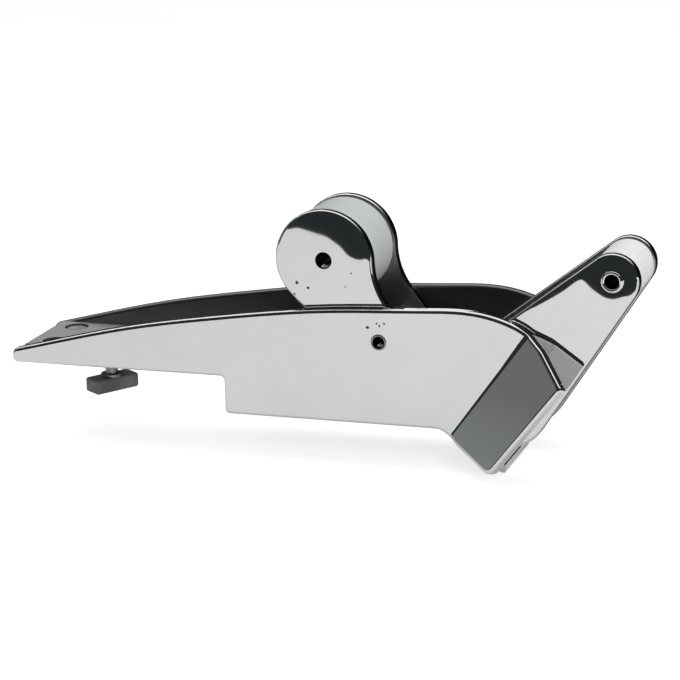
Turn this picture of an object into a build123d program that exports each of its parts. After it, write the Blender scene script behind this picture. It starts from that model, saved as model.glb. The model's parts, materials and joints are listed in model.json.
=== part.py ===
"""A tilting bow roller: a welded channel for the deck, and a rocker with two rollers that tilts in it.

Frame: +X points to the bow, +Y to port and +Z up, all in millimetres. The origin is the centre of
the deck screw holes, under the deck plate. The rocker is drawn resting on the nose of the channel.
"""

from build123d import *
import os
from math import asin, atan2, cos, degrees, hypot, radians, sin, tan

# Channel: two upright side plates, with cross plates welded between them
channel_width = 70.0  # over the outer faces
plate = 7.0
plate_round = 2.2  # the free edges are ground round
tail_x = -72.0
foot_z = -5.0  # the lower edges stand on the deck
tail_z = 0.2  # top of the upright end edge
tail_corner = 4.5
arch_start_slope = 14.0
arch_points = [(10.0, 23.5), (74.0, 34.1), (138.0, 41.8), (202.0, 45.2), (243.0, 43.8)]
step_x = 72.4  # the underside drops here
keel_z = -29.0
keel_corner = 2.8
ramp_x = 211.9  # where the keel turns down to the nose
ramp_angle = 36.6
ramp_bend = 12.0

# Flares: the front ends of the side plates, bent outwards about a line square to the ramp
bend_reach = 6.9  # along the ramp, from the keel's front end to the bend
bend_length = 83.3
flare_angle = 33.0
flare_bend = 5.0
flare_width = 42.0  # at the top
flare_foot = 39.6  # at the bottom
flare_flat = 12.0  # the straight part of its top edge
flare_drop = 5.5  # from there to the front corner
flare_lift = 5.0  # of its lower edge, at the front
flare_root = 5.0  # the straight start of its lower edge
flare_corner = 2.6  # at the top
flare_heel = 6.0  # the corner at the bottom
flare_sweep = 24.0

# Cross plates
web = 6.0
deck_rear_x = -66.0
lip_start = 42.5  # along the ramp
lip_inner = 1.0
lip_turn = 70.0
web_round = 1.2

# Countersunk screw holes in the deck plate
hole_spacing_x = 100.0
hole_spacing_y = 34.0
hole_radius = 4.5
sink_radius = 7.5

# Clamp block under the tail, on a stud through the deck plate
stud_x = -19.0
stud_radius = 4.0
stud_head_radius = 7.6
stud_inset = 1.0  # the stud ends inside the block
block_top = -20.0
block_length = 32.0
block_width = 15.0
block_height = 9.0
block_corner = 2.2
block_edge = 0.9
block_skew = 56.0  # its long side, turned from the keel line
block_washer = 1.6
block_washer_radius = 7.0

# Pivot of the rocker
pivot_x = 174.1
pivot_z = 23.5
pin_radius = 5.0
pin_bore = 3.6
pin_edge = 0.5
bush_wall = 2.0
sleeve_wall = 2.5
thrust_washer = 0.8
thrust_washer_radius = 10.0

# Rocker: two plates between the side plates
side_gap = 1.0
rocker_plate = 6.5
rocker_round = 1.8
cheek_x = 137.6
cheek_z = 70.5
cheek_radius = 31.2
heel_radius = 25.5
neck_radius = 45.0
neck_angle = 53.0
valley_radius = 18.0
arm_angle = 37.0
tip_x = 316.0
tip_z = 67.2
tip_radius = 16.3
front_angle = 56.7
toe_radius = 30.0
belly_radius = 18.0
rest_gap = 0.4  # between the rocker and the ramp that stops it
cross_plate = 5.0
cross_reach = 26.0

# Axles and rollers
rear_axle_radius = 7.0
rear_axle_bore = 5.1
front_axle_radius = 6.7
front_axle_bore = 4.5
front_axle_proud = 0.8
axle_edge = 0.5
roller_washer = 1.0
roller_gap = 0.35
roller_bush = 2.0
rear_rim = 1.1  # the cheeks stand out past the roller
front_rim = 1.0
roller_round = 1.6

# Fits
running_fit = 0.06
washer_fit = 0.2

# Places worked out from the sizes above
outer_y = channel_width / 2
inner_y = outer_y - plate
rocker_y = inner_y - side_gap
rocker_inner_y = rocker_y - rocker_plate
roller_half = rocker_inner_y - roller_washer - roller_gap
deck_top = web
floor_top = keel_z + web
bush_radius = pin_radius + running_fit + bush_wall
stud_end = block_top - block_height + stud_inset
cheek = (cheek_x, cheek_z)
tip = (tip_x, tip_z)
pivot = (pivot_x, pivot_z)
ramp_under = (ramp_x, keel_z)
ramp_top = (ramp_x + web * tan(radians(ramp_angle / 2)), floor_top)


def moved(point, angle, distance):
    """The point at a distance from another, in a direction in the XZ plane."""
    return (point[0] + distance * cos(radians(angle)), point[1] + distance * sin(radians(angle)))


def direction(angle):
    """The unit vector of a direction, as a pair."""
    return moved((0, 0), angle, 1)


def bearing(start, end):
    """The angle of the line from one point to another, and its length."""
    dx = end[0] - start[0]
    dz = end[1] - start[1]
    return degrees(atan2(dz, dx)), hypot(dx, dz)


def crossing(point_a, angle_a, point_b, angle_b):
    """Where two lines meet, each given by a point and an angle."""
    cos_a, sin_a = direction(angle_a)
    cos_b, sin_b = direction(angle_b)
    dx = point_b[0] - point_a[0]
    dz = point_b[1] - point_a[1]
    distance = (dx * sin_b - dz * cos_b) / (cos_a * sin_b - sin_a * cos_b)
    return moved(point_a, angle_a, distance)


def slab(edges, y_start, y_end):
    """A closed outline in the XZ plane, made solid between two places across the channel."""
    face = Plane.XZ * make_face(edges)
    return extrude(Pos(0, y_start, 0) * face, amount=y_end - y_start, dir=(0, 1, 0))


def rod(centre, radius, y_start, y_end):
    """A round bar along Y."""
    return slab([CenterArc(centre, radius, 0, 360)], y_start, y_end)


def tube(centre, radius, bore, y_start, y_end, edge=0.0):
    """A round tube along Y, with its outer end edges eased."""
    bar = rod(centre, radius, y_start, y_end)
    if edge > 0:
        bar = chamfer(bar.edges().filter_by(GeomType.CIRCLE), edge)
    return bar - rod(centre, bore, y_start - 1, y_end + 1)


def pair(solid):
    """A solid and its mirror image across the keel line, as one group."""
    return Compound(children=[solid, mirror(solid, about=Plane.XZ)])


def flat_outline(bend_low, bend_high):
    """The side plate's outline as far as the bend, whose ends are given."""
    corner = (tail_x + tail_corner, tail_z)
    arch_start = moved(corner, 90 + arch_start_slope, tail_corner)
    arch = Spline(
        [arch_start, *arch_points, bend_high],
        tangents=[direction(arch_start_slope), direction(-ramp_angle)],
    )
    lower = FilletPolyline(
        (tail_x, tail_z),
        (tail_x, foot_z),
        (step_x, foot_z),
        (step_x, keel_z),
        ramp_under,
        bend_low,
        radius=[keel_corner, keel_corner, keel_corner, ramp_bend],
    )
    tail_arc = CenterArc(corner, tail_corner, 90 + arch_start_slope, 90 - arch_start_slope)
    return [*arch.edges(), *tail_arc.edges(), *lower.edges(), *Line(bend_low, bend_high).edges()]


def flare_outline(setback):
    """The flare's outline in its own plane, from the end of the bend."""
    outline = FilletPolyline(
        (0, 0),
        (flare_root, 0),
        (flare_foot - setback, flare_lift),
        (flare_width - setback, bend_length - flare_drop),
        (flare_flat, bend_length),
        (0, bend_length),
        radius=[flare_sweep, flare_heel, flare_corner, flare_sweep],
    )
    return [*outline.edges(), *Line((0, bend_length), (0, 0)).edges()]


def is_free_edge_face(face, flare_normal):
    """True for the narrow faces along the edge of a bent plate."""
    normal = face.normal_at(face.center())
    return abs(normal.Y) < 0.01 or abs(normal.dot(flare_normal)) < 0.01


def side_plate():
    """The starboard side plate: flat, then bent outwards at the nose, with its edges rounded."""
    setback = flare_bend * tan(radians(flare_angle / 2))
    low = moved(ramp_under, -ramp_angle, bend_reach - setback)
    high = moved(low, 90 - ramp_angle, bend_length)
    flat = slab(flat_outline(low, high), -outer_y, -inner_y)

    forward = Vector(cos(radians(ramp_angle)), 0, -sin(radians(ramp_angle)))
    upward = Vector(sin(radians(ramp_angle)), 0, cos(radians(ramp_angle)))
    bend_plane = Plane(origin=(low[0], 0, low[1]), x_dir=forward, z_dir=upward)
    centre = (0, -(outer_y + flare_bend))
    start_angle = 90 - flare_angle
    near = CenterArc(centre, flare_bend, start_angle, flare_angle)
    far = CenterArc(centre, flare_bend + plate, start_angle, flare_angle)
    ends = [Line(near @ 0, far @ 0), Line(near @ 1, far @ 1)]
    bend = extrude(bend_plane * make_face([near, far, *ends]), amount=bend_length, dir=upward)

    outward = forward * cos(radians(flare_angle)) - Vector(0, sin(radians(flare_angle)), 0)
    flare_normal = outward.cross(upward)
    flare_start = bend_plane.from_local_coords(far @ 0)
    flare_plane = Plane(origin=flare_start, x_dir=outward, z_dir=flare_normal)
    flare_face = flare_plane * make_face(flare_outline(setback))
    flare = extrude(flare_face, amount=plate, dir=flare_normal)

    bent = flat + bend + flare
    narrow = [f for f in bent.faces() if is_free_edge_face(f, flare_normal)]
    rims = [e for f in narrow for e in f.edges() if abs(e.length - plate) > 0.01]
    return fillet(rims, plate_round)


def starboard_side_plate():
    """The near side plate with the pivot hole."""
    hole = rod(pivot, pin_radius, -outer_y - 1, -inner_y + 1)
    return side_plate() - hole


def closed(*points):
    """A closed outline through points."""
    return Polyline(*points, close=True).edges()


def deck_plate():
    """The flat plate that is screwed to the deck, with countersunk holes."""
    front = step_x + web
    outline = closed((deck_rear_x, 0), (front, 0), (front, deck_top), (deck_rear_x, deck_top))
    solid = slab(outline, -inner_y, inner_y)
    solid = fillet(solid.edges().filter_by(Axis.Y).sort_by(Axis.X)[:2], web_round)
    screws = GridLocations(hole_spacing_x, hole_spacing_y, 2, 2)
    cutter = countersink(hole_radius, sink_radius)
    for place in screws:
        solid -= place * cutter
    return solid - Pos(stud_x, 0, 0) * countersink(stud_radius, stud_head_radius)


def countersink(shank, head):
    """The space of a flush screw in the deck plate."""
    cone = Cone(shank, head, head - shank, align=(Align.CENTER, Align.CENTER, Align.MAX))
    return Pos(0, 0, deck_top) * cone + Cylinder(shank, 3 * deck_top)


def step_plate():
    """The upright plate between the deck plate and the floor."""
    front = step_x + web
    return slab(closed((step_x, floor_top), (front, floor_top), (front, 0), (step_x, 0)), -inner_y, inner_y)


def floor_plate():
    """The floor of the deep part of the channel."""
    return slab(closed((step_x, keel_z), ramp_under, ramp_top, (step_x, floor_top)), -inner_y, inner_y)


def nose_ramp():
    """The ramp between the flares, with its front end turned down as a lip."""
    top_end = moved(ramp_top, -ramp_angle, lip_start)
    lip_radius = web + lip_inner
    centre = moved(top_end, -90 - ramp_angle, lip_radius)
    turned = 90 - ramp_angle
    over = CenterArc(centre, lip_radius, turned - lip_turn, lip_turn)
    under = CenterArc(centre, lip_inner, turned - lip_turn, lip_turn)
    edges = [
        over,
        under,
        Line(over @ 0, under @ 0),
        Line(over @ 1, ramp_top),
        Line(ramp_top, ramp_under),
        Line(ramp_under, under @ 1),
    ]
    solid = slab(edges, -inner_y, inner_y)
    return fillet(solid.edges().filter_by(Axis.Y).sort_by(Axis.Z)[:2], web_round)


def clamp_bolt():
    """The stud of the clamp block, with a flush head in the deck plate."""
    head = Cone(
        stud_radius,
        stud_head_radius,
        stud_head_radius - stud_radius,
        align=(Align.CENTER, Align.CENTER, Align.MAX),
    )
    shank = Pos(0, 0, stud_end) * Cylinder(
        stud_radius, deck_top - stud_end - 1, align=(Align.CENTER, Align.CENTER, Align.MIN)
    )
    return Pos(stud_x, 0, 0) * (Pos(0, 0, deck_top) * head + shank)


def clamp_block():
    """The block that grips from below, with eased corners and a bore for the stud."""
    block = Box(
        block_length, block_width, block_height, align=(Align.CENTER, Align.CENTER, Align.MAX)
    )
    block = fillet(block.edges().filter_by(Axis.Z), block_corner)
    block = chamfer(block.edges().filter_by(Axis.Z, reverse=True), block_edge)
    block -= Cylinder(stud_radius + running_fit, 3 * block_height)
    return Pos(stud_x, 0, block_top) * Rot(0, 0, block_skew) * block


def clamp_washer():
    """The washer on top of the block."""
    ring = Cylinder(block_washer_radius, block_washer, align=(Align.CENTER, Align.CENTER, Align.MIN))
    ring -= Cylinder(stud_radius + washer_fit, 3 * block_washer)
    return Pos(stud_x, 0, block_top) * ring


def rocker_outline():
    """The rocker plate's outline: round cheek, heel about the pivot, toe on the ramp, arm and tip."""
    axis_angle, axis_length = bearing(cheek, pivot)
    back_angle = axis_angle + degrees(asin((cheek_radius - heel_radius) / axis_length))
    rest_point = (ramp_top[0], ramp_top[1] + rest_gap / cos(radians(ramp_angle)))
    sight, distance = bearing(pivot, rest_point)
    belly_angle = sight + degrees(asin(heel_radius / distance))

    back = Line(moved(cheek, back_angle - 90, cheek_radius), moved(pivot, back_angle - 90, heel_radius))
    heel = CenterArc(pivot, heel_radius, back_angle - 90, belly_angle - back_angle)
    front_top = moved(tip, front_angle - 90, tip_radius)
    toe_corner = crossing(rest_point, -ramp_angle, front_top, front_angle)
    lower = FilletPolyline(
        moved(pivot, belly_angle - 90, heel_radius),
        rest_point,
        toe_corner,
        front_top,
        radius=[belly_radius, toe_radius],
    )
    tip_arc = CenterArc(tip, tip_radius, front_angle - 90, arm_angle + 180 - front_angle)

    neck_centre = (cheek_x + cheek_radius + neck_radius, cheek_z)
    neck_end = moved(neck_centre, 270 - neck_angle, neck_radius)
    arm_top = moved(tip, arm_angle + 90, tip_radius)
    valley = crossing(neck_end, -neck_angle, arm_top, arm_angle)
    upper = FilletPolyline(arm_top, valley, neck_end, radius=valley_radius)
    neck = CenterArc(neck_centre, neck_radius, 180, 90 - neck_angle)
    cheek_arc = CenterArc(cheek, cheek_radius, 0, back_angle + 270)
    curves = [back, heel, lower, tip_arc, upper, neck, cheek_arc]
    return [edge for curve in curves for edge in curve.edges()]


def starboard_rocker_plate():
    """The near rocker plate with its three bores."""
    solid = slab(rocker_outline(), -rocker_y, -rocker_inner_y)
    solid = fillet(solid.edges().filter_by(Axis.Y, reverse=True), rocker_round)
    bores = [(cheek, rear_axle_radius), (tip, front_axle_radius), (pivot, bush_radius)]
    for centre, radius in bores:
        solid -= rod(centre, radius, -rocker_y - 1, -rocker_inner_y + 1)
    return solid


def rocker_web():
    """The cross plate that joins the two rocker plates along the ramp."""
    start = (ramp_top[0], ramp_top[1] + rest_gap / cos(radians(ramp_angle)))
    end = moved(start, -ramp_angle, cross_reach)
    up = 90 - ramp_angle
    outline = closed(start, end, moved(end, up, cross_plate), moved(start, up, cross_plate))
    solid = slab(outline, -rocker_inner_y, rocker_inner_y)
    return fillet(solid.edges().filter_by(Axis.Y), web_round)


def rocker_bushes():
    """The two plain bushes of the pivot, one in each rocker plate."""
    bush = tube(pivot, bush_radius, pin_radius + running_fit, -rocker_y, -rocker_inner_y)
    return pair(bush)


def rocker_sleeve():
    """The spacer tube between the rocker plates, about the pivot pin."""
    bore = pin_radius + washer_fit
    return tube(pivot, bush_radius + sleeve_wall, bore, -rocker_inner_y, rocker_inner_y)


def pivot_washers():
    """The two thin washers beside the rocker."""
    ring = tube(pivot, thrust_washer_radius, pin_radius + washer_fit, -inner_y, -inner_y + thrust_washer)
    return pair(ring)


def roller_washers(centre, axle_radius):
    """The two washers at the ends of a roller."""
    ring = tube(
        centre,
        axle_radius + roller_bush + running_fit,
        axle_radius + washer_fit / 2,
        -rocker_inner_y,
        -rocker_inner_y + roller_washer,
    )
    return pair(ring)


def roller_bush_tube(centre, axle_radius):
    """The sleeve in a roller, running on its axle."""
    bore = axle_radius + running_fit
    return tube(centre, bore + roller_bush, bore, -roller_half, roller_half)


def roller(centre, radius, axle_radius):
    """A plain roller with rounded shoulders."""
    barrel = rod(centre, radius, -roller_half, roller_half)
    barrel = fillet(barrel.edges().filter_by(GeomType.CIRCLE), roller_round)
    bore = axle_radius + running_fit + roller_bush
    return barrel - rod(centre, bore, -roller_half - 1, roller_half + 1)


def build_parts():
    """Every piece by its name."""
    starboard = starboard_side_plate()
    near_rocker = starboard_rocker_plate()
    front_end = rocker_y + front_axle_proud
    return {
        "starboard_side_plate": starboard,
        "port_side_plate": mirror(starboard, about=Plane.XZ),
        "deck_plate": deck_plate(),
        "step_plate": step_plate(),
        "floor_plate": floor_plate(),
        "nose_ramp": nose_ramp(),
        "pivot_pin": tube(pivot, pin_radius, pin_bore, -outer_y, outer_y, pin_edge),
        "pivot_washers": pivot_washers(),
        "clamp_bolt": clamp_bolt(),
        "clamp_washer": clamp_washer(),
        "clamp_block": clamp_block(),
        "starboard_rocker_plate": near_rocker,
        "port_rocker_plate": mirror(near_rocker, about=Plane.XZ),
        "rocker_web": rocker_web(),
        "rocker_sleeve": rocker_sleeve(),
        "rocker_bushes": rocker_bushes(),
        "rear_axle": tube(cheek, rear_axle_radius, rear_axle_bore, -rocker_y, rocker_y),
        "front_axle": tube(tip, front_axle_radius, front_axle_bore, -front_end, front_end, axle_edge),
        "rear_roller_washers": roller_washers(cheek, rear_axle_radius),
        "front_roller_washers": roller_washers(tip, front_axle_radius),
        "rear_roller": roller(cheek, cheek_radius - rear_rim, rear_axle_radius),
        "rear_roller_bush": roller_bush_tube(cheek, rear_axle_radius),
        "front_roller": roller(tip, tip_radius - front_rim, front_axle_radius),
        "front_roller_bush": roller_bush_tube(tip, front_axle_radius),
    }


os.makedirs("parts", exist_ok=True)
for name, solid in build_parts().items():
    export_step(solid, f"parts/{name}.step")
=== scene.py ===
# %% [markdown]
# # A polished tilting bow roller
# The real object is welded from 7 mm stainless plate and polished until it mirrors the room.
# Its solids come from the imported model, which is loaded here as a fixed frame in metres.
# Almost all of its look is reflection, so this lesson spends its care on two things: the finish
# of each surface, and a small studio whose pale and dark parts show up in the steel.

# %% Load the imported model
import bpy
import json
from collections import namedtuple
from math import cos, pi, radians, sin
from mathutils import Matrix, Vector
from types import SimpleNamespace


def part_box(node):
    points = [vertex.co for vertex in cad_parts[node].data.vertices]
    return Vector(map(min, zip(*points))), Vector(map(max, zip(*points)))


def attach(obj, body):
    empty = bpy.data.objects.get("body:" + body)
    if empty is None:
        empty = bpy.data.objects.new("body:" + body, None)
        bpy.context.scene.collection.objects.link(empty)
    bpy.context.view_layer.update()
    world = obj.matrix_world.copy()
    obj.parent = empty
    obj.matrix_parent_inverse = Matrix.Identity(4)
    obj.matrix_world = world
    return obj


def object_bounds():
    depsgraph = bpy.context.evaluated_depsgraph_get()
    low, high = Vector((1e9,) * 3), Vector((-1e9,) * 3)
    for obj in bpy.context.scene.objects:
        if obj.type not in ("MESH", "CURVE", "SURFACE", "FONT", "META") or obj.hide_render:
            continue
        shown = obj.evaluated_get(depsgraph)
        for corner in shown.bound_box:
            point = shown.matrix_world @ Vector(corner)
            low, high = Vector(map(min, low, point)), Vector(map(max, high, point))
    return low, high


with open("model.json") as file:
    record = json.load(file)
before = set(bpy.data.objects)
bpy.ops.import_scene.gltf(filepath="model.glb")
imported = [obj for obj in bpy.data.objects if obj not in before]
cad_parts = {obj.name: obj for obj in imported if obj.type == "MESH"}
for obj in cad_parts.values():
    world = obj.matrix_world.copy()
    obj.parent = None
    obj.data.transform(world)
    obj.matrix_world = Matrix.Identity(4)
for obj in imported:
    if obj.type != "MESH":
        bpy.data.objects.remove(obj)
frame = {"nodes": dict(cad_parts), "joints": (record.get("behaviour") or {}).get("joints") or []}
nodes = frame["nodes"]
cad_box = [list(corner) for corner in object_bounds()]
bpy.ops.object.select_all(action="DESELECT")
print("nodes:", len(nodes), "box:", cad_box)

# %% [markdown]
# The joints tell where the rollers and the pivot are, so no place is typed twice.
# A small table of centres by joint name is all that later cells need. The stage's own places
# are given from the middle of the object's length.

# %% Places of the joints
joint_place = {joint["name"]: Vector(joint["pos_m"]) for joint in frame["joints"]}
lowest = cad_box[0][2]
middle_x = round((cad_box[0][0] + cad_box[1][0]) / 2, 2)
print({name: tuple(place) for name, place in joint_place.items()}, "lowest:", lowest, "middle:", middle_x)

# %% [markdown]
# The photograph was taken with a long lens, from a little above and from ahead of the beam.
# Its camera was worked out from circles and plate edges, and is given as an azimuth, an
# elevation, a small roll and a place. The matrix columns are the camera's right, up and back.

# %% Camera
camera_place = Vector((0.6152, -1.3841, 0.4193))
azimuth = radians(19.04)
elevation = radians(15.5)
roll = radians(-1.63)
film_width = 36
focal_length = 129.2
level_right = Vector((cos(azimuth), sin(azimuth), 0))
back = Vector((sin(azimuth) * cos(elevation), -cos(azimuth) * cos(elevation), sin(elevation)))
level_up = back.cross(level_right)
right = level_right * cos(roll) + level_up * sin(roll)
up = back.cross(right)
camera_data = bpy.data.cameras.new("photo_camera")
camera_data.sensor_width = film_width
camera_data.lens = focal_length
camera = bpy.data.objects.new("photo_camera", camera_data)
camera.matrix_world = Matrix.Translation(camera_place) @ Matrix((right, up, back)).transposed().to_4x4()
bpy.context.collection.objects.link(camera)
bpy.context.scene.camera = camera
bpy.context.scene.view_settings.view_transform = "Standard"
print("camera looks along", tuple(-back))

# %% [markdown]
# A node tree is easier to read when each step is one line. The first helper adds a node, sets
# its values and links its inputs: a socket given as a value is linked, a number is set. The
# others stand for the steps that come back most: arithmetic, a mask with a soft edge, and a mix
# of two colours.

# %% Helpers for node trees
def add_node(tree, kind, settings=None, **inputs):
    """A shader node with its properties, and inputs by name, or by i and their number."""
    node = tree.nodes.new(kind)
    for key, value in (settings or {}).items():
        setattr(node, key, value)
    for key, value in inputs.items():
        named = [socket for socket in node.inputs if socket.name == key.replace("_", " ") and socket.enabled]
        socket = named[0] if named else node.inputs[int(key[1:])]
        if isinstance(value, bpy.types.NodeSocket):
            tree.links.new(value, socket)
        else:
            socket.default_value = value
    return node


def calc(tree, operation, a, b=0.0, c=0.0):
    """One arithmetic step, as a socket."""
    return add_node(tree, "ShaderNodeMath", {"operation": operation}, i0=a, i1=b, i2=c).outputs[0]


def soft_step(tree, value, start, end):
    """A mask that goes from 0 where the value is start to 1 where it is end."""
    return add_node(tree, "ShaderNodeMapRange", Value=value, From_Min=start, From_Max=end).outputs[0]


def mix_colour(tree, mask, first, second):
    """The first colour where the mask is 0, the second where it is 1."""
    mix = add_node(tree, "ShaderNodeMix", {"data_type": "RGBA"}, i0=mask, i6=first, i7=second)
    return mix.outputs[2]


def new_material(name):
    """An empty node material with its output node."""
    material = bpy.data.materials.new(name)
    material.use_nodes = True
    material.node_tree.nodes.clear()
    output = material.node_tree.nodes.new("ShaderNodeOutputMaterial")
    return material, material.node_tree, output


white_light = (1.0, 1.0, 1.0, 1.0)
print("helpers ready")

# %% [markdown]
# The world is plain white where the camera, a mirror or glass looks at it, and a softer grey
# where it only lights the scene. A separate value for lighting keeps pale plastic from clipping.

# %% World
sky_light = 0.42
world = bpy.data.worlds.new("white_studio")
bpy.context.scene.world = world
world.use_nodes = True
tree = world.node_tree
tree.nodes.clear()
path = tree.nodes.new("ShaderNodeLightPath")
seen = calc(tree, "MAXIMUM", path.outputs["Is Camera Ray"], path.outputs["Is Glossy Ray"])
seen = calc(tree, "MAXIMUM", seen, path.outputs["Is Transmission Ray"])
lighting = add_node(tree, "ShaderNodeBackground", Color=(0.96, 0.98, 1.0, 1.0), Strength=sky_light)
showing = add_node(tree, "ShaderNodeBackground", Color=white_light, Strength=1.0)
mix = add_node(tree, "ShaderNodeMixShader", i0=seen, i1=lighting.outputs[0], i2=showing.outputs[0])
tree.links.new(mix.outputs[0], tree.nodes.new("ShaderNodeOutputWorld").inputs[0])
print("world lights with", sky_light, "and is shown as white")

# %% [markdown]
# The floor is a pale sheet of paper. The steel mirrors it as a light grey, and the camera sees
# it as white with the object's soft shadow, because some light of its own is added, much for the
# camera and a little for mirrors. It lies just under the lowest edge of the nose, and it can't
# be seen from below, so that a view from underneath shows the object.

# %% Floor
floor_gap = 0.0015
floor_z = lowest - floor_gap
floor_size = 12
paper_tone = (0.78, 0.78, 0.77, 1.0)
camera_lift = 0.62
mirror_lift = 0.06
floor_material, tree, output = new_material("paper_floor")
path = tree.nodes.new("ShaderNodeLightPath")
facing = tree.nodes.new("ShaderNodeNewGeometry")
paper = add_node(tree, "ShaderNodeBsdfDiffuse", Color=paper_tone)
lift = calc(tree, "MULTIPLY", path.outputs["Is Camera Ray"], camera_lift)
lift = calc(tree, "MULTIPLY_ADD", path.outputs["Is Glossy Ray"], mirror_lift, lift)
glow = add_node(tree, "ShaderNodeEmission", Color=white_light, Strength=lift)
both = add_node(tree, "ShaderNodeAddShader", i0=paper.outputs[0], i1=glow.outputs[0])
clear = tree.nodes.new("ShaderNodeBsdfTransparent")
sheet = add_node(
    tree, "ShaderNodeMixShader", i0=facing.outputs["Backfacing"], i1=both.outputs[0], i2=clear.outputs[0]
)
tree.links.new(sheet.outputs[0], output.inputs[0])

bpy.ops.mesh.primitive_plane_add(size=floor_size, location=(middle_x, 0, floor_z))
floor = bpy.context.object
floor.name = "paper_floor"
floor.data.materials.append(floor_material)
print("floor at", round(floor_z, 4))

# %% [markdown]
# Polished steel needs something to mirror. In the photograph the flat faces show a dark cap on
# the round cheek and a dark patch round the arm's tip, as if the room in front of the paper was
# dark. So the paper's front edge is drawn here as a wavy line, the way the steel shows it, and
# beyond it lies a dark sheet. Sheets and cards like this one show only in reflections: they
# neither hide the object nor take light from it.

# %% Dark sheet beyond the paper
def flag_material(name, tone):
    """A plain tone that shows in reflections."""
    material, tree, output = new_material(name)
    light = add_node(tree, "ShaderNodeEmission", Color=tone, Strength=1.0)
    tree.links.new(light.outputs[0], output.inputs[0])
    return material


def only_in_mirrors(obj):
    """Hides a stage piece from everything except glossy rays."""
    obj.visible_camera = False
    obj.visible_diffuse = False
    obj.visible_shadow = False
    obj.visible_transmission = False
    obj.visible_volume_scatter = False


def stage_sheet(name, material, points, faces):
    """A sheet that shows only in mirrors, from its points and faces."""
    mesh = bpy.data.meshes.new(name)
    mesh.from_pydata([tuple(point) for point in points], [], faces)
    mesh.materials.append(material)
    obj = bpy.data.objects.new(name, mesh)
    bpy.context.collection.objects.link(obj)
    only_in_mirrors(obj)
    return obj


def smooth_line(points, steps):
    """A smooth line through points, with a few steps between each two."""
    line = []
    for i in range(len(points) - 1):
        before = Vector(points[max(i - 1, 0)])
        start, end = Vector(points[i]), Vector(points[i + 1])
        after = Vector(points[min(i + 2, len(points) - 1)])
        for step in range(steps):
            t = step / steps
            bend = (end - before) * t + (2 * before - 5 * start + 4 * end - after) * t * t
            bend += (3 * start - before - 3 * end + after) * t ** 3
            line.append(start + bend / 2)
    return line + [Vector(points[-1])]


room_tone = (0.022, 0.026, 0.026, 1.0)
dark = flag_material("dark_room", room_tone)
edge_to_the_left = [(-2.0, -1.3), (-1.0, -0.95), (-0.5, -0.78), (-0.25, -0.68), (-0.16, -0.645)]
edge_in_the_cheek = [
    (-0.118, -0.632), (-0.104, -0.624), (-0.099, -0.63), (-0.091, -0.626), (-0.076, -0.614),
    (-0.063, -0.604), (-0.049, -0.586), (-0.035, -0.565), (-0.025, -0.547), (-0.016, -0.535),
    (-0.008, -0.529), (-0.003, -0.533), (0.004, -0.522), (0.01, -0.512),
]
edge_between = [(0.06, -0.475), (0.13, -0.42)]
edge_in_the_tip = [
    (0.164, -0.402), (0.169, -0.406), (0.174, -0.427), (0.18, -0.461), (0.182, -0.482),
    (0.184, -0.499), (0.188, -0.501), (0.201, -0.476), (0.211, -0.46), (0.217, -0.452),
    (0.224, -0.449), (0.23, -0.458), (0.234, -0.464), (0.238, -0.488),
]
edge_to_the_right = [(0.26, -0.52), (0.3, -0.56), (0.4, -0.65), (0.7, -0.85), (1.3, -1.1), (2.5, -1.6)]
paper_edge = edge_to_the_left + edge_in_the_cheek + edge_between + edge_in_the_tip + edge_to_the_right
edge_steps = 5
sheet_height = floor_z + 0.001
sheet_front_y = -4.0
near_row = [Vector((x, y, sheet_height)) for x, y in smooth_line(paper_edge, edge_steps)]
far_row = [Vector((point.x, sheet_front_y, sheet_height)) for point in near_row]
count = len(near_row)
quads = [[i, i + 1, count + i + 1, count + i] for i in range(count - 1)]
stage_sheet("dark_sheet", dark, near_row + far_row, quads)
print("dark sheet with", count, "edge points")

# %% [markdown]
# The rest of the room is one large dome, whose tone depends on direction only. It is dark in
# front up to a wide opening overhead, white there, and dark again low down all round. At the left
# stands a grey wall, which the bent flare mirrors, and the opening is dimmer above it, as the
# upper left rim of the round cheek shows. Each part of the room is a mask, made from the
# direction in the dome's own coordinates, where 1 means straight to that side.

# %% Dome
dome_radius = 3.0
front_limit = 80.0
back_limit = 36.0
opening_edge = (0.57, 0.61)
low_wall_from = (-0.84, -0.87)
low_wall_top = (0.45, 0.38)
high_wall_from = (-0.68, -0.74)
high_wall_foot = (0.40, 0.43)
wall_fade = (0.17, 0.23)
dim_from = (-0.70, -0.74)
dim_foot = (0.64, 0.67)
wall_low_tone = (0.225, 0.255, 0.245, 1.0)
wall_high_tone = (0.165, 0.165, 0.16, 1.0)
dim_tone = (0.2, 0.2, 0.195, 1.0)

dome_material, tree, output = new_material("room_dome")
where = tree.nodes.new("ShaderNodeTexCoord")
unit = add_node(tree, "ShaderNodeVectorMath", {"operation": "NORMALIZE"}, i0=where.outputs["Object"])
direction = add_node(tree, "ShaderNodeSeparateXYZ", i0=unit.outputs[0])
to_side, to_back, upward = direction.outputs[0], direction.outputs[1], direction.outputs[2]


def above_plane(angle, sign):
    """1 above a plane that leans over the object, from the front at 1 or from behind at -1."""
    level = calc(tree, "MULTIPLY", upward, cos(radians(angle)))
    level = calc(tree, "MULTIPLY_ADD", to_back, sign * sin(radians(angle)), level)
    return soft_step(tree, level, -0.01, 0.01)


def corner_of_room(side_edge, height_edge):
    """1 where the direction is past both edges."""
    past_side = soft_step(tree, to_side, *side_edge)
    return calc(tree, "MULTIPLY", past_side, soft_step(tree, upward, *height_edge))


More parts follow.
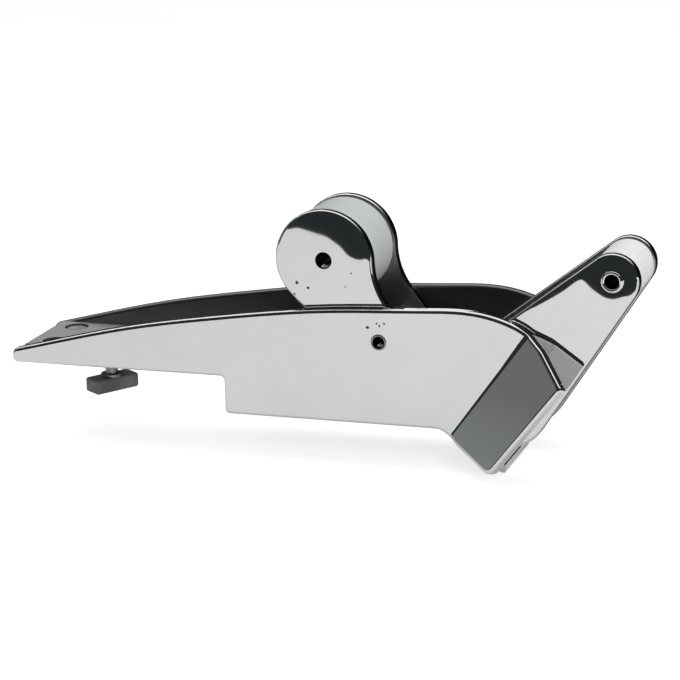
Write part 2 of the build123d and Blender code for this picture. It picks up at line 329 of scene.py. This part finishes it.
opening = calc(tree, "MULTIPLY", above_plane(front_limit, 1.0), above_plane(back_limit, -1.0))
opening = calc(tree, "MULTIPLY", opening, soft_step(tree, upward, *opening_edge))
low_wall = corner_of_room(low_wall_from, low_wall_top)
high_wall = corner_of_room(high_wall_from, high_wall_foot)
left_wall = calc(tree, "MAXIMUM", low_wall, high_wall)
wall_tone = mix_colour(tree, soft_step(tree, upward, *wall_fade), wall_low_tone, wall_high_tone)
room = mix_colour(tree, left_wall, room_tone, wall_tone)
ceiling = mix_colour(tree, corner_of_room(dim_from, dim_foot), white_light, dim_tone)
light = add_node(tree, "ShaderNodeEmission", Color=mix_colour(tree, opening, room, ceiling), Strength=1.0)
tree.links.new(light.outputs[0], output.inputs[0])

bpy.ops.mesh.primitive_uv_sphere_add(
    segments=72, ring_count=36, radius=dome_radius, location=(middle_x, 0, floor_z)
)
dome = bpy.context.object
dome.name = "room_dome"
bpy.ops.object.mode_set(mode="EDIT")
bpy.ops.mesh.select_all(action="SELECT")
bpy.ops.mesh.bisect(plane_co=(middle_x, 0, floor_z), plane_no=(0, 0, 1), clear_inner=True)
bpy.ops.object.mode_set(mode="OBJECT")
dome.data.materials.append(dome_material)
only_in_mirrors(dome)
print("dome of", dome_radius, "m, open from", front_limit, "to", 180 - back_limit, "degrees")

# %% [markdown]
# Behind the object hang two pale strips of paper, and the flat top edge of the near side plate
# mirrors them as a bright line. Between the two the rocker's round cheeks look into the dark.
# Below them a dark card stands on dark ground, and every edge seen at a grazing angle picks up
# its thin dark outline there.

# %% Pale strips and dark cards behind
white = flag_material("white_strip", white_light)
behind_y = 0.25
strip_top = 0.135
dark_card_top = 0.07
dark_half = 1.2
dark_ground_y = 0.08


def card(name, material, corners):
    """A flat stage card with its corners in order."""
    return stage_sheet(name, material, corners, [list(range(len(corners)))])


def hanging_strip(name, lower_edge):
    """A white strip behind the object, from its lower edge, given as x and z, up to strip_top."""
    ends = (lower_edge[-1][0], lower_edge[0][0])
    corners = [(x, behind_y, z) for x, z in lower_edge] + [(x, behind_y, strip_top) for x in ends]
    return card(name, white, corners)


hanging_strip("left_strip", [(-0.5, 0.05), (-0.2, 0.084), (-0.12, 0.093), (-0.04, 0.102), (-0.01, 0.105)])
hanging_strip("right_strip", [(0.08, 0.111), (0.18, 0.112)])
card(
    "dark_card", dark,
    [(-dark_half, behind_y, floor_z), (dark_half, behind_y, floor_z),
     (dark_half, behind_y, dark_card_top), (-dark_half, behind_y, dark_card_top)],
)
card(
    "dark_ground", dark,
    [(-dark_half, dark_ground_y, sheet_height), (dark_half, dark_ground_y, sheet_height),
     (dark_half, behind_y, sheet_height), (-dark_half, behind_y, sheet_height)],
)
print("strips up to", strip_top, "dark card up to", dark_card_top)

# %% [markdown]
# Three soft lamps light the floor and the plastics. The widest is overhead, a little behind the
# object. One in front, towards the bow, keeps the near sides of the rollers open, and a small
# one ahead of the bow lights the front roller. None of them shows in the steel, because the
# dome's opening already does.

# %% Lamps
lamp_target = (middle_x, -0.1, 0.0)


def soft_lamp(name, place, size, power):
    """A large square lamp turned to the object."""
    data = bpy.data.lights.new(name, "AREA")
    data.shape = "SQUARE"
    data.size = size
    data.energy = power
    lamp = bpy.data.objects.new(name, data)
    lamp.location = place
    lamp.rotation_euler = (Vector(lamp_target) - Vector(place)).to_track_quat("-Z", "Y").to_euler()
    lamp.visible_glossy = False
    lamp.visible_camera = False
    bpy.context.collection.objects.link(lamp)
    return lamp


top_lamp = soft_lamp("top_lamp", (-0.1, 0.2, 1.4), size=1.4, power=9.0)
front_lamp = soft_lamp("front_lamp", (0.9, -1.3, 0.6), size=0.9, power=10.0)
bow_lamp = soft_lamp("bow_lamp", (1.3, -0.15, 0.4), size=0.6, power=2.2)
print("lamps:", top_lamp.data.energy, front_lamp.data.energy, round(bow_lamp.data.energy, 2))

# %% [markdown]
# Mirror-polished plate is never perfect: it has faint clouds where the buffing wheel dwelt,
# hairline scratches that run along the stroke, and a slow waviness that bends reflections.
# All three are useful on every steel piece, so they are one node group. It takes object
# coordinates, so the marks stay on the metal, and gives masks and a height.

# %% Node group for polishing marks
polish = bpy.data.node_groups.new("polish_marks", "ShaderNodeTree")
polish.interface.new_socket("Vector", in_out="INPUT", socket_type="NodeSocketVector")
polish.interface.new_socket("Clouds", in_out="OUTPUT", socket_type="NodeSocketFloat")
polish.interface.new_socket("Scratches", in_out="OUTPUT", socket_type="NodeSocketFloat")
polish.interface.new_socket("Height", in_out="OUTPUT", socket_type="NodeSocketFloat")
group_in = polish.nodes.new("NodeGroupInput")
group_out = polish.nodes.new("NodeGroupOutput")
place = group_in.outputs["Vector"]
stroke_angle = radians(11)
stroke_stretch = (26.0, 300.0, 900.0)
scratch_depth = 0.01
clouds = add_node(polish, "ShaderNodeTexNoise", Vector=place, Scale=38.0, Detail=4.0, Roughness=0.55)
cloud_mask = soft_step(polish, clouds.outputs["Fac"], 0.42, 0.72)
stroke = add_node(
    polish, "ShaderNodeMapping", {"vector_type": "POINT"}, Vector=place,
    Rotation=(0.0, stroke_angle, 0.0), Scale=stroke_stretch
)
hairs = add_node(polish, "ShaderNodeTexNoise", Vector=stroke.outputs[0], Scale=1.0, Detail=3.0, Roughness=0.6)
scratch = soft_step(polish, hairs.outputs["Fac"], 0.68, 0.76)
wave = add_node(polish, "ShaderNodeTexNoise", Vector=place, Scale=11.0, Detail=0.0)
height = calc(polish, "MULTIPLY_ADD", scratch, -scratch_depth, wave.outputs["Fac"])
polish.links.new(cloud_mask, group_out.inputs["Clouds"])
polish.links.new(scratch, group_out.inputs["Scratches"])
polish.links.new(height, group_out.inputs["Height"])
print("group:", polish.name)

# %% [markdown]
# A few small nicks have chipped the polish near the pivot and on the round cheek. Each is a
# tiny irregular spot at a place on the plate, so the group takes that place and a size, and
# gives a mask whose rim is broken up by a noise.

# %% Node group for a nick
nick = bpy.data.node_groups.new("nick", "ShaderNodeTree")
nick.interface.new_socket("Vector", in_out="INPUT", socket_type="NodeSocketVector")
nick.interface.new_socket("Place", in_out="INPUT", socket_type="NodeSocketVector")
nick.interface.new_socket("Size", in_out="INPUT", socket_type="NodeSocketFloat")
nick.interface.new_socket("Mask", in_out="OUTPUT", socket_type="NodeSocketFloat")
group_in = nick.nodes.new("NodeGroupInput")
group_out = nick.nodes.new("NodeGroupOutput")
ragged = add_node(nick, "ShaderNodeTexNoise", Vector=group_in.outputs["Vector"], Scale=900.0, Detail=1.0)
apart = add_node(
    nick, "ShaderNodeVectorMath", {"operation": "DISTANCE"}, i0=group_in.outputs["Vector"],
    i1=group_in.outputs["Place"]
)
spread = calc(nick, "DIVIDE", apart.outputs["Value"], group_in.outputs["Size"])
spread = calc(nick, "ADD", spread, ragged.outputs["Fac"])
nick.links.new(soft_step(nick, spread, 1.45, 1.15), group_out.inputs["Mask"])
print("group:", nick.name)

# %% [markdown]
# The steel is a plain metal with a very low roughness on its outer faces. Over that lie layers,
# each a mask with its own tone: the inside of the channel and of the rocker was never buffed and
# is satin, with the channel's tone darkened further as painted shade, and the inboard faces of the
# flares are duller. The rocker's front edges are painted near black, a painted dark reflection.
# The bores are painted dark as painted shade, but for a pale patch low in two of them, a painted
# glint, and a darker ring lies round each screw hole of the deck plate. This cell holds the masks.
# Each takes the sockets that say where a point is on its piece and which way its face is turned.

# %% Masks for the steel
keel_edge = (0.0006, 0.0002)
bore_edge = (0.0003, 0.0001)
turned_edge = (0.5, 0.7)
patch_depth = 0.006
patch_half = 0.003
patch_low = 0.84


def place_sockets(tree):
    """Where a point is on its piece and how its face is turned, as sockets."""
    coords = tree.nodes.new("ShaderNodeTexCoord").outputs
    point = add_node(tree, "ShaderNodeSeparateXYZ", i0=coords["Object"]).outputs
    turned = add_node(tree, "ShaderNodeSeparateXYZ", i0=coords["Normal"]).outputs
    return SimpleNamespace(
        vector=coords["Object"], x=point[0], z=point[2], across=calc(tree, "ABSOLUTE", point[1]),
        turned_x=turned[0], turned_y=turned[1]
    )


def flat_length(tree, a, b):
    """The length of a flat vector."""
    return calc(tree, "SQRT", calc(tree, "MULTIPLY_ADD", a, a, calc(tree, "MULTIPLY", b, b)))


def everywhere(tree, at):
    """1 on the whole piece."""
    return 1.0


def near_keel(half):
    """1 on faces nearer to the keel line than half."""
    return lambda tree, at: soft_step(tree, at.across, half + keel_edge[0], half + keel_edge[1])


def turned_inboard(sign):
    """1 on faces turned to the keel line, for the starboard plate at 1 and the port one at -1."""
    return lambda tree, at: soft_step(tree, calc(tree, "MULTIPLY", at.turned_y, sign), *turned_edge)


def turned_forward(tree, at):
    """1 on faces turned to the bow."""
    return soft_step(tree, at.turned_x, *turned_edge)


def in_bore(centre, radius):
    """1 on the wall of a bore across the channel."""
    def mask(tree, at):
        dx = calc(tree, "SUBTRACT", at.x, centre.x)
        dz = calc(tree, "SUBTRACT", at.z, centre.z)
        return soft_step(tree, flat_length(tree, dx, dz), radius + bore_edge[0], radius + bore_edge[1])
    return mask


# The mask below marks where a bore is painted pale as a painted glint.
def bore_glint_patch(centre, radius, end):
    """1 at the bottom of a bore that ends at end on both sides, a little way in from each end."""
    def mask(tree, at):
        depth = calc(tree, "SUBTRACT", end, at.across)
        off = calc(tree, "ABSOLUTE", calc(tree, "SUBTRACT", depth, patch_depth))
        band = calc(tree, "LESS_THAN", off, patch_half)
        bottom = calc(tree, "LESS_THAN", at.z, centre.z - patch_low * radius)
        patch = calc(tree, "MULTIPLY", band, bottom)
        return calc(tree, "MULTIPLY", in_bore(centre, radius)(tree, at), patch)
    return mask


def round_holes(half_x, half_y, inner, outer):
    """1 in a ring round each of four holes, which lie even to both middle lines."""
    def mask(tree, at):
        dx = calc(tree, "SUBTRACT", calc(tree, "ABSOLUTE", at.x), half_x)
        dy = calc(tree, "SUBTRACT", at.across, half_y)
        off = calc(tree, "SUBTRACT", flat_length(tree, dx, dy), (inner + outer) / 2)
        return calc(tree, "LESS_THAN", calc(tree, "ABSOLUTE", off), (outer - inner) / 2)
    return mask


print("masks ready")

# %% [markdown]
# A layer is a mask, its tone, how much roughness it adds and how much of the metal it takes
# away, since the painted glint patches mirror nothing. One function lays them over the polish.

# %% Steel
Layer = namedtuple("Layer", "mask tone rough metal_loss", defaults=(0.0, 0.0))
polished_tones = ((0.83, 0.832, 0.825, 1.0), (0.80, 0.803, 0.80, 1.0))
mirror_rough = 0.016
cloud_rough = 0.012
scratch_rough = 0.06
nick_tone = (0.06, 0.06, 0.06, 1.0)


def steel_material(name, layers=(), nicks=(), metal=1.0):
    """Polished steel with layers over it, in their order, and a few nicks on top."""
    material, tree, output = new_material(name)
    at = place_sockets(tree)
    marks = add_node(tree, "ShaderNodeGroup", {"node_tree": polish}, Vector=at.vector).outputs
    tint = mix_colour(tree, marks["Clouds"], *polished_tones)
    rough = calc(tree, "MULTIPLY_ADD", marks["Clouds"], cloud_rough, mirror_rough)
    rough = calc(tree, "MULTIPLY_ADD", marks["Scratches"], scratch_rough, rough)
    for layer in layers:
        mask = layer.mask(tree, at)
        tint = mix_colour(tree, mask, tint, layer.tone)
        if layer.rough:
            rough = calc(tree, "MULTIPLY_ADD", mask, layer.rough, rough)
        if layer.metal_loss:
            metal = calc(tree, "MULTIPLY_ADD", mask, -layer.metal_loss, metal)
    for place, size in nicks:
        spot = add_node(
            tree, "ShaderNodeGroup", {"node_tree": nick}, Vector=at.vector, Place=place, Size=size
        )
        tint = mix_colour(tree, spot.outputs[0], tint, nick_tone)
    bump = add_node(tree, "ShaderNodeBump", Strength=0.5, Distance=0.00004, Height=marks["Height"])
    surface = add_node(
        tree, "ShaderNodeBsdfPrincipled", Base_Color=tint, Metallic=metal, Roughness=rough,
        Normal=bump.outputs[0]
    )
    tree.links.new(surface.outputs[0], output.inputs[0])
    return material


channel_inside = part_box("deck_plate")[1][1]
rocker_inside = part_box("rocker_web")[1][1]
pivot = joint_place["rocker_tilt"]
rear_centre = joint_place["rear_roller_spin"]
front_centre = joint_place["front_roller_spin"]
side_face = -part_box("pivot_pin")[1][1]
rocker_face = -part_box("rear_axle")[1][1]
side_nicks = [
    ((0.1673, side_face, 0.0325), 0.0011),
    ((0.1732, side_face, 0.0352), 0.0008),
    ((0.1749, side_face, 0.0338), 0.0008),
    ((0.1780, side_face, 0.0355), 0.0008),
]
cheek_nicks = [
    ((0.1201, rocker_face, 0.0559), 0.0014),
    ((0.1273, rocker_face, 0.0529), 0.0011),
    ((0.1184, rocker_face, 0.0487), 0.0008),
    ((0.1551, rocker_face, 0.0636), 0.0007),
    ((0.1511, rocker_face, 0.0549), 0.0006),
]
print("inside of the channel:", round(channel_inside, 4), "and of the rocker:", round(rocker_inside, 4))

# %% [markdown]
# The plastics are moulded and matt, and so is the cast block: a fine grain roughens them, and
# they have picked up a little grey dirt. A noise gives the mottling.

# %% Plastics and cast block
def matt_material(name, colour, worn, roughness, grain):
    """A matt surface with a mottled colour and a fine grain."""
    material, tree, output = new_material(name)
    where = tree.nodes.new("ShaderNodeTexCoord").outputs["Object"]
    mottle = add_node(tree, "ShaderNodeTexNoise", Vector=where, Scale=70.0, Detail=5.0)
    mask = soft_step(tree, mottle.outputs["Fac"], 0.4, 0.75)
    tint = mix_colour(tree, mask, (*colour, 1.0), (*worn, 1.0))
    fine = add_node(tree, "ShaderNodeTexNoise", Vector=where, Scale=grain, Detail=3.0)
    bump = add_node(tree, "ShaderNodeBump", Strength=0.35, Distance=0.00008, Height=fine.outputs["Fac"])
    rough = calc(tree, "MULTIPLY_ADD", mask, 0.1, roughness)
    surface = add_node(
        tree, "ShaderNodeBsdfPrincipled", Base_Color=tint, Roughness=rough, Normal=bump.outputs[0]
    )
    tree.links.new(surface.outputs[0], output.inputs[0])
    return material


block_grain = 900.0
plastic_grain = 1500.0
matt_finishes = {
    "block": matt_material(
        "cast_block", colour=(0.095, 0.095, 0.09), worn=(0.2, 0.2, 0.19), roughness=0.45, grain=block_grain
    ),
    "bearing": matt_material(
        "bearing_plastic", colour=(0.72, 0.72, 0.69), worn=(0.62, 0.62, 0.60), roughness=0.5,
        grain=plastic_grain
    ),
    "rear_roller": matt_material(
        "rear_roller", colour=(0.60, 0.63, 0.60), worn=(0.55, 0.58, 0.55), roughness=0.45,
        grain=plastic_grain
    ),
    "front_roller": matt_material(
        "front_roller", colour=(0.90, 0.91, 0.89), worn=(0.86, 0.87, 0.86), roughness=0.45,
        grain=plastic_grain
    ),
}
print("matt finishes:", ", ".join(matt_finishes))

# %% [markdown]
# Now each kind of piece gets its own steel, from the layers that it shows. The satin inside of the
# far side plate reaches a little further up its rounded edge than that of the near one, which
# paints shade on that edge.

# %% Finishes of the steel pieces
satin_rough = 0.35
# Near black: painted shade in the bores, and also the tone of the darker rings round the deck's screw holes.
painted_bore_shade_and_ring_tone = (0.03, 0.03, 0.03, 1.0)
bore_rough = 0.3
# Satin inside the channel, with its tone darkened further as painted shade.
channel_satin_and_shade = (0.24, 0.252, 0.248, 1.0)
worn_satin = (0.50, 0.52, 0.50, 1.0)
deck_satin = (0.38, 0.39, 0.38, 1.0)
deck_rough = 0.5
bolt_satin = (0.34, 0.34, 0.33, 1.0)
bolt_rough = 0.3
painted_dark_front_tone = (0.07, 0.072, 0.07, 1.0)
front_rough = 0.2
far_shade_reach = 0.0045
inboard_tone = (0.55, 0.56, 0.55, 1.0)
# A pale, non-metal tone for a painted glint low in two bores.
painted_glint_tone = (0.95, 0.95, 0.94, 1.0)
axle_bore = (rear_centre, 0.0051)
tip_bore = (front_centre, 0.0045)
pin_bore = (pivot, 0.0036)
screw_place = (0.05, 0.017)
screw_ring = (0.0064, 0.0078)
# The rocker's faces turned to the bow are painted near black: a painted dark reflection.
painted_dark_front = Layer(turned_forward, painted_dark_front_tone, front_rough)
# A darker ring round each screw hole of the deck plate.
dark_hole_rings = Layer(round_holes(*screw_place, *screw_ring), painted_bore_shade_and_ring_tone)


def painted_bore_shade(bore):
    """The wall of a bore, painted dark as painted shade."""
    return Layer(in_bore(*bore), painted_bore_shade_and_ring_tone, bore_rough)


def painted_glint(bore, end):
    """A pale patch low in a bore: a painted glint."""
    return Layer(bore_glint_patch(*bore, end), painted_glint_tone, metal_loss=1.0)


steel_finishes = {
    "side": steel_material(
        "side_steel", nicks=side_nicks,
        layers=[
            Layer(turned_inboard(1.0), inboard_tone),
            Layer(near_keel(channel_inside), channel_satin_and_shade, satin_rough),
        ],
    ),
    # The far plate's copy of the side steel: its dark satin reaches further up the edge as painted shade.
    "far_side": steel_material(
        "far_side_painted_shade_steel",
        layers=[
            Layer(turned_inboard(-1.0), inboard_tone),
            Layer(near_keel(channel_inside + far_shade_reach), channel_satin_and_shade, satin_rough),
        ],
    ),
    "rocker": steel_material(
        "rocker_steel", nicks=cheek_nicks,
        layers=[Layer(near_keel(rocker_inside), worn_satin, satin_rough), painted_dark_front],
    ),
    "inner": steel_material("inner_steel", [Layer(everywhere, worn_satin, satin_rough)]),
    "ramp": steel_material("ramp_steel"),
    "deck": steel_material(
        "deck_steel", [Layer(everywhere, deck_satin, deck_rough), dark_hole_rings], metal=0.5
    ),
    # The bores are painted dark as painted shade; two of them also get a painted glint.
    "rear_axle": steel_material("rear_axle_steel", [painted_bore_shade(axle_bore), painted_glint(axle_bore, -rocker_face)]),
    "front_axle": steel_material("front_axle_steel", [painted_bore_shade(tip_bore)]),
    "pivot_pin": steel_material("pin_steel", [painted_bore_shade(pin_bore), painted_glint(pin_bore, -side_face)]),
    "collar": steel_material("collar_steel"),
    "bolt": steel_material("bolt_steel", [Layer(everywhere, bolt_satin, bolt_rough)]),
}
print("steel finishes:", ", ".join(steel_finishes))

# %% [markdown]
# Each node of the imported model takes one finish, which replaces the plain material it came with.

# %% Dress the nodes
finishes = {**steel_finishes, **matt_finishes}
finish_of = {
    "side": ["starboard_side_plate"],
    "far_side": ["port_side_plate"],
    "rocker": ["starboard_rocker_plate", "port_rocker_plate"],
    "inner": ["step_plate", "floor_plate", "rocker_web", "rocker_sleeve"],
    "ramp": ["nose_ramp"],
    "deck": ["deck_plate"],
    "rear_axle": ["rear_axle"],
    "front_axle": ["front_axle"],
    "pivot_pin": ["pivot_pin"],
    "bolt": ["clamp_bolt", "clamp_washer"],
    "block": ["clamp_block"],
    "bearing": [
        "pivot_washers", "rocker_bushes", "rear_roller_washers", "front_roller_washers",
        "rear_roller_bush", "front_roller_bush",
    ],
    "rear_roller": ["rear_roller"],
    "front_roller": ["front_roller"],
}
for finish, names in finish_of.items():
    for name in names:
        nodes[name].data.materials.clear()
        nodes[name].data.materials.append(finishes[finish])
print("finishes on", sum(len(names) for names in finish_of.values()), "of", len(nodes), "nodes")

# %% [markdown]
# The ends of the front axle are rolled over into bright collars, and the pivot pin has a low
# rounded rim. Each is a half-round profile, a flat circle bisected along its middle, spun once
# round the axis of its joint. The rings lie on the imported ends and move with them.

# %% Rolled collars and rims
profile_points = 24
spin_steps = 72
merge_distance = 0.00001


def rolled_ring(name, centre, end_y, ring_radius, half_width, height, dressing):
    """A half-round ring on the end of a pin, standing outwards from end_y."""
    outward = 1.0 if end_y > 0 else -1.0
    bpy.ops.object.select_all(action="DESELECT")
    bpy.ops.mesh.primitive_circle_add(vertices=profile_points, radius=half_width, fill_type="NOTHING")
    ring = bpy.context.object
    ring.name = name
    bpy.ops.object.mode_set(mode="EDIT")
    bpy.ops.mesh.select_all(action="SELECT")
    bpy.ops.transform.resize(value=(1.0, height / half_width, 1.0), center_override=(0, 0, 0))
    bpy.ops.mesh.bisect(plane_co=(0, 0, 0), plane_no=(0, outward, 0), clear_inner=True)
    bpy.ops.mesh.select_all(action="SELECT")
    bpy.ops.transform.translate(value=(centre.x + ring_radius, end_y, centre.z))
    bpy.ops.mesh.spin(steps=spin_steps, angle=2 * pi, center=(centre.x, end_y, centre.z), axis=(0, 1, 0))
    bpy.ops.mesh.select_all(action="SELECT")
    bpy.ops.mesh.remove_doubles(threshold=merge_distance)
    bpy.ops.mesh.normals_make_consistent(inside=False)
    bpy.ops.object.mode_set(mode="OBJECT")
    bpy.ops.object.shade_smooth()
    ring.data.materials.append(dressing)
    return ring


collar_radius = 0.0054
collar_half_width = 0.0013
collar_height = 0.0018
rim_radius = 0.0043
rim_half_width = 0.0007
rim_height = 0.0005
front_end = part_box("front_axle")[1][1]
pin_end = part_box("pivot_pin")[1][1]
for side, sign in (("starboard", -1.0), ("port", 1.0)):
    collar = rolled_ring(
        side + "_front_collar", front_centre, sign * front_end,
        collar_radius, collar_half_width, collar_height, finishes["collar"]
    )
    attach(collar, "rocker")
    # The pin rim takes the bolt's darker satin, as painted shade round the pivot.
    rim = rolled_ring(
        side + "_pin_rim", pivot, sign * pin_end,
        rim_radius, rim_half_width, rim_height, finishes["bolt"]
    )
    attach(rim, "channel")
print("collars at", round(front_end, 4), "rims at", round(pin_end, 4))
